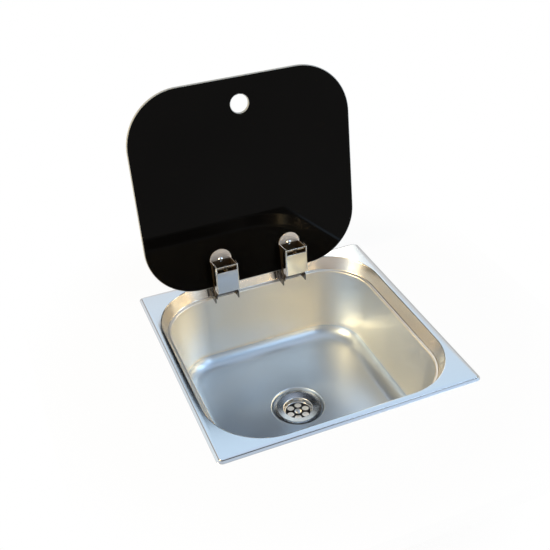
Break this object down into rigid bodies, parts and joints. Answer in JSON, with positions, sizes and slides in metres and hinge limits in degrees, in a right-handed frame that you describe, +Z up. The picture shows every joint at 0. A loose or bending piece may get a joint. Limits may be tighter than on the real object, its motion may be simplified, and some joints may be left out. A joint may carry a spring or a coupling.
{
  "type": "kitchen sink with lid",
  "caption": "Square drop-in steel sink bowl with a strainer waste and a black glass lid that folds down flush on two hinges.",
  "frame": {"origin": "centre of the bowl opening, in the plane of the worktop that the rim rests on", "axes": "+X to the right, +Y to the back where the hinges are, +Z up"},
  "size_m": [0.4104, 0.4308, 0.5939],
  "materials": {
    "sink_steel": "satin, fine brushed",
    "polished_steel": "polished",
    "zinc_steel": "zinc plated",
    "inner_steel": "oiled, dark",
    "spring_steel": "oiled",
    "insert_brass": "turned",
    "black_glass": "high gloss, opaque black",
    "foam": "soft foam",
    "seal_rubber": "matt",
    "white_plastic": "satin",
    "nylon": "satin",
    "grey_plastic": "matt"
  },
  "bodies": {
    "sink": {"bowl": "sink_steel", "rim_seal": "foam", "clamp_brackets": "zinc_steel", "clamp_screws": "zinc_steel", "clamp_pads": "seal_rubber", "strainer": "polished_steel", "strainer_screw": "polished_steel", "strainer_washer": "seal_rubber", "waste_seal": "seal_rubber", "waste_body": "white_plastic", "screw_insert": "insert_brass", "tail_seal": "seal_rubber", "hose_tail": "white_plastic", "hose_nut": "white_plastic", "left_bracket": "polished_steel", "right_bracket": "polished_steel", "bracket_rivets": "zinc_steel", "left_pivot_pin": "polished_steel", "right_pivot_pin": "polished_steel", "left_drum": "nylon", "right_drum": "nylon"},
    "lid": {"lid_glass": "black_glass", "left_frame": "polished_steel", "right_frame": "polished_steel", "left_cover": "polished_steel", "right_cover": "polished_steel", "pivot_bushes": "nylon", "cross_pins": "polished_steel", "left_shoe": "nylon", "right_shoe": "nylon", "left_spring": "spring_steel", "right_spring": "spring_steel", "left_guide": "inner_steel", "right_guide": "inner_steel", "disc_screws": "polished_steel", "glass_gaskets": "grey_plastic", "outer_gaskets": "grey_plastic", "outer_discs": "polished_steel"}
  },
  "joints": [
    {"name": "lid_hinge", "type": "hinge", "parent": "sink", "child": "lid", "pos_m": [0, 0.1717, -0.003], "axis": [1, 0, 0], "range_deg": [0, 97.5]}
  ]
}
